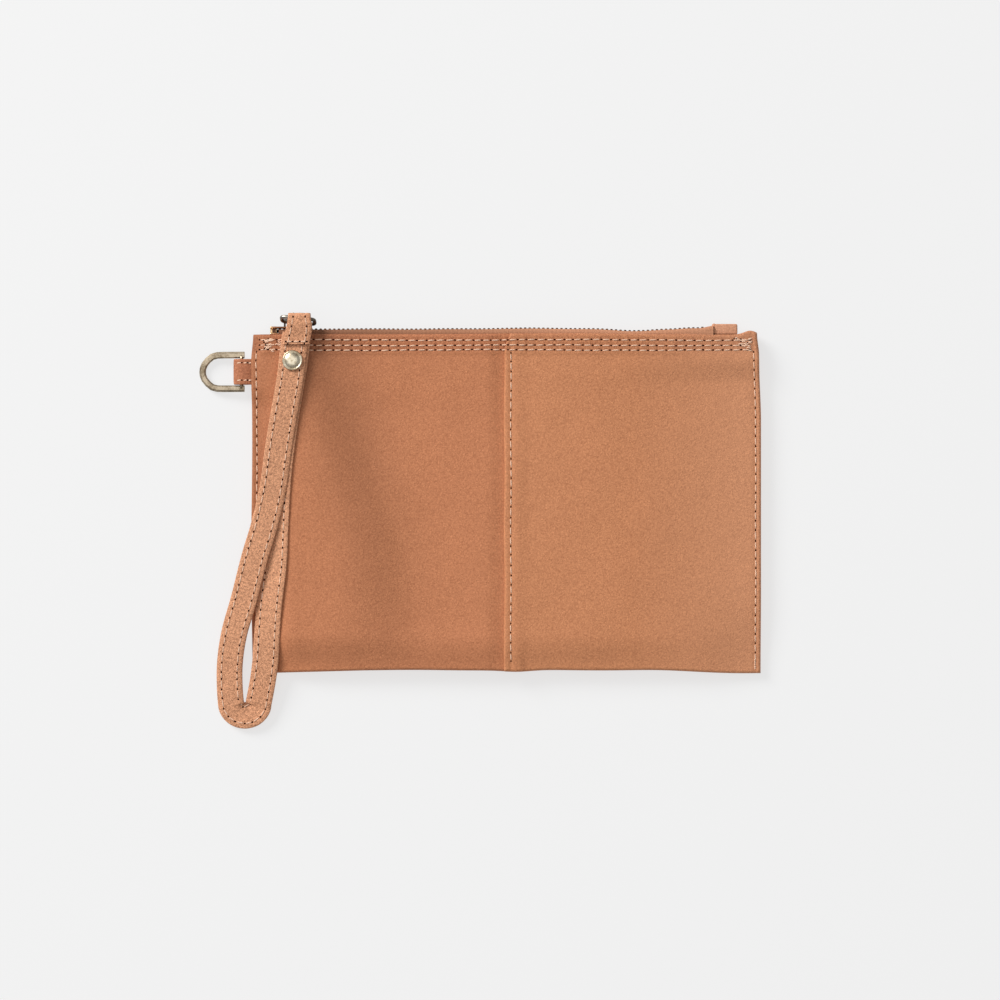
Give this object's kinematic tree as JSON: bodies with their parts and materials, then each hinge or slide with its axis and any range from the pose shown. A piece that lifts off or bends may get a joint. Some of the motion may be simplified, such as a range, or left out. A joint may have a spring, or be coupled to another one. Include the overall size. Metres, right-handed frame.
{
  "type": "wristlet wallet",
  "caption": "Flat zip-top leather wristlet wallet with a lapped front seam, folded wrist strap on the zip pull ring and a side D-ring.",
  "frame": {"origin": "middle of the flat back face, where the wallet lies on its back", "axes": "+Z out of the front face, +Y towards the zip, +X along the zip, away from the strap and the D-ring"},
  "size_m": [0.2528, 0.1862, 0.0178],
  "materials": {
    "leather_front_left": "matte pebbled tan",
    "leather_front_right": "matte pebbled tan",
    "leather_back": "matte pebbled tan",
    "leather_trim": "matte pebbled tan, stitched",
    "strap_leather": "matte pebbled tan, two rows of stitching",
    "lining_fabric": "plain woven cotton",
    "zip_tape": "woven polyester tape",
    "zip_metal": "dark antique",
    "antique_brass": "aged, satin",
    "slider_metal": "dark antique"
  },
  "bodies": {
    "wallet": {"front_left_panel": "leather_front_left", "front_right_panel": "leather_front_right", "back_panel": "leather_back", "front_lining": "lining_fabric", "back_lining": "lining_fabric", "card_pocket": "lining_fabric", "zip_tape_front": "zip_tape", "zip_tape_back": "zip_tape", "zip_teeth_front": "zip_metal", "zip_teeth_back": "zip_metal", "top_stop_front": "zip_metal", "top_stop_back": "zip_metal", "bottom_stop": "zip_metal", "zip_end_tab": "leather_trim", "d_ring_tab": "leather_trim"},
    "slider": {"slider_body": "slider_metal", "slider_crown": "slider_metal"},
    "strap": {"wrist_strap": "strap_leather", "rivet_cap": "antique_brass", "rivet_post": "antique_brass", "pull_ring": "antique_brass", "pull_link": "slider_metal"},
    "d_ring": {"d_ring": "antique_brass"}
  },
  "joints": [
    {"name": "zip_slide", "type": "slide", "parent": "wallet", "child": "slider", "axis": [1, 0, 0], "range_m": [0, 0.185]},
    {"name": "strap_lift", "type": "hinge", "parent": "slider", "child": "strap", "pos_m": [-0.0978, 0.0819, 0.006], "axis": [1, 0, 0], "range_deg": [-105, 0]},
    {"name": "d_ring_swing", "type": "hinge", "parent": "wallet", "child": "d_ring", "pos_m": [-0.1189, 0.0587, 0.0048], "axis": [0, 1, 0], "range_deg": [-85, 115]}
  ],
  "couplings": [
    {"joint": "zip_slide", "follows": "strap_lift", "m_per_rad": -0.1009}
  ]
}
